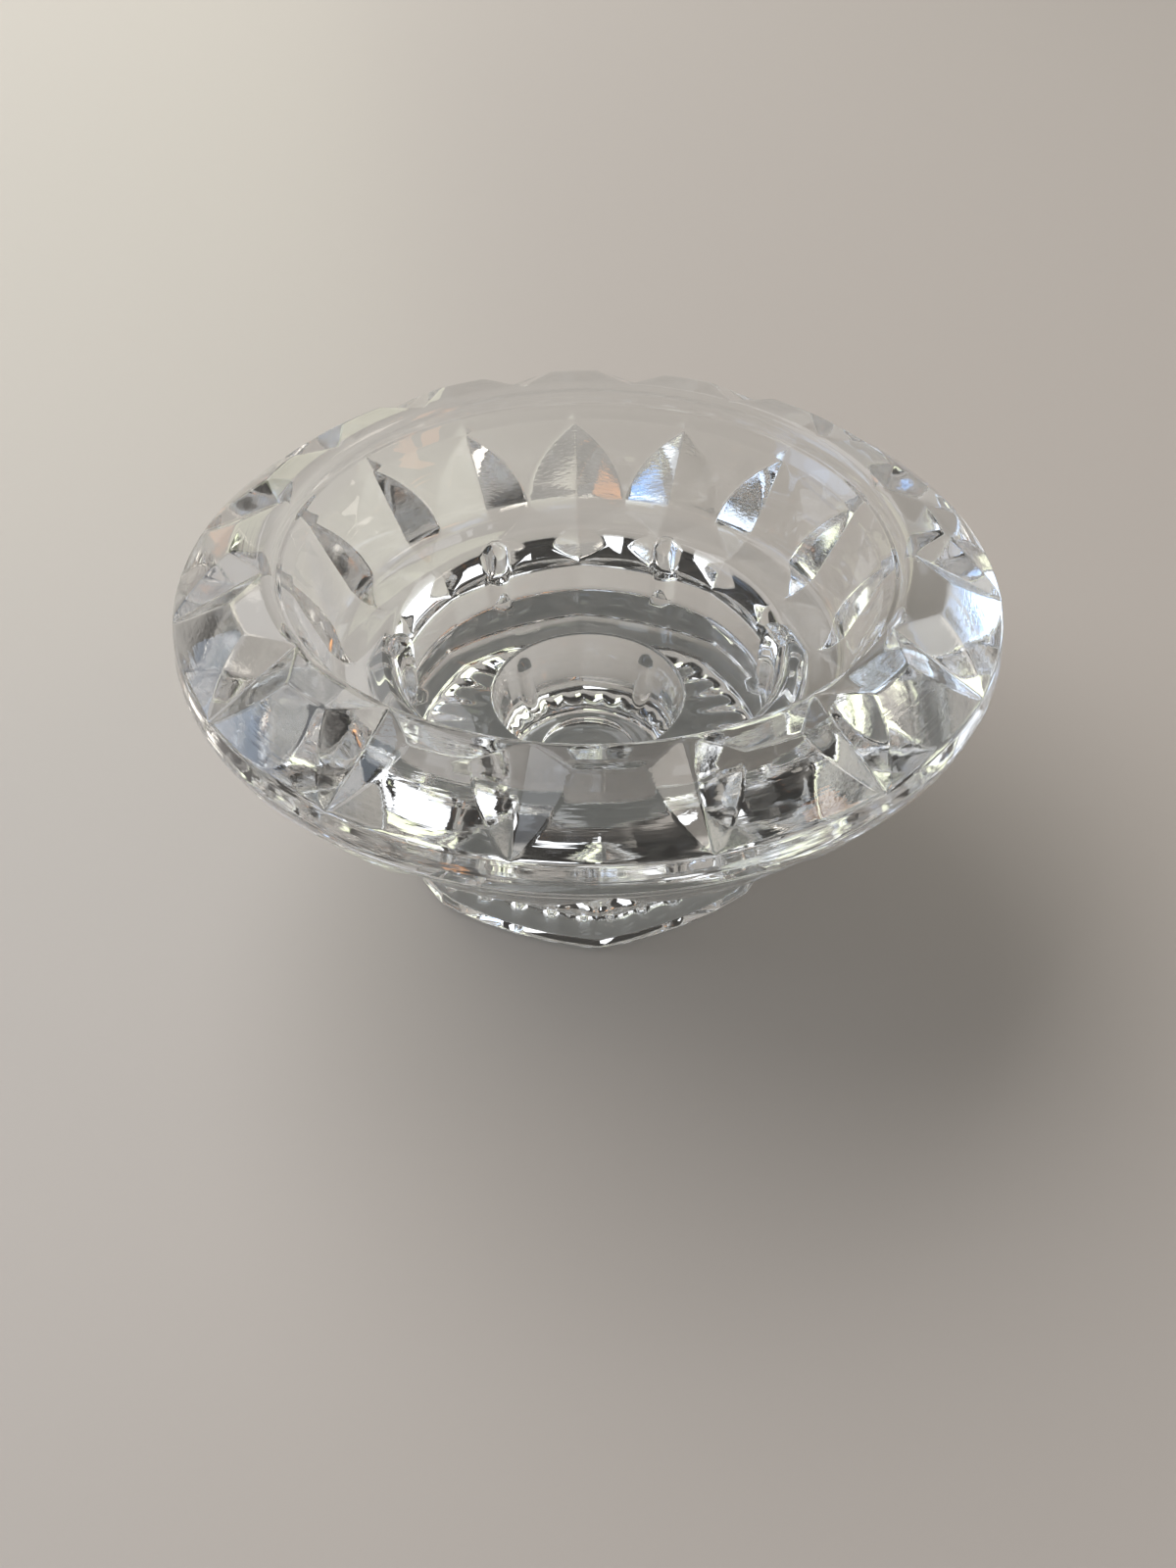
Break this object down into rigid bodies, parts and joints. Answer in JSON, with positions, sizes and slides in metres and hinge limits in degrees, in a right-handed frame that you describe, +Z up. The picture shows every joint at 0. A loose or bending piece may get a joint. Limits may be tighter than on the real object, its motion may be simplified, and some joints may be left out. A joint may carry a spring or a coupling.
{
  "type": "candle holder",
  "caption": "Cut glass candle holder with a thick petalled collar round a bowl, a ribbed tealight cup and a taper socket, on a short fluted foot.",
  "frame": {"origin": "middle of the foot, on the surface that the holder stands on", "axes": "+Z up along the axis of the bowl, cup and socket; -Y towards the front, through the middle of one petal, of the leaf cut under it and of one ridge of the stem"},
  "size_m": [0.0854, 0.0854, 0.0385],
  "materials": {
    "clear_glass": "polished clear crystal, cut and ground facets with faint polishing lines"
  },
  "bodies": {
    "root": {"holder_glass": "clear_glass"}
  },
  "joints": []
}
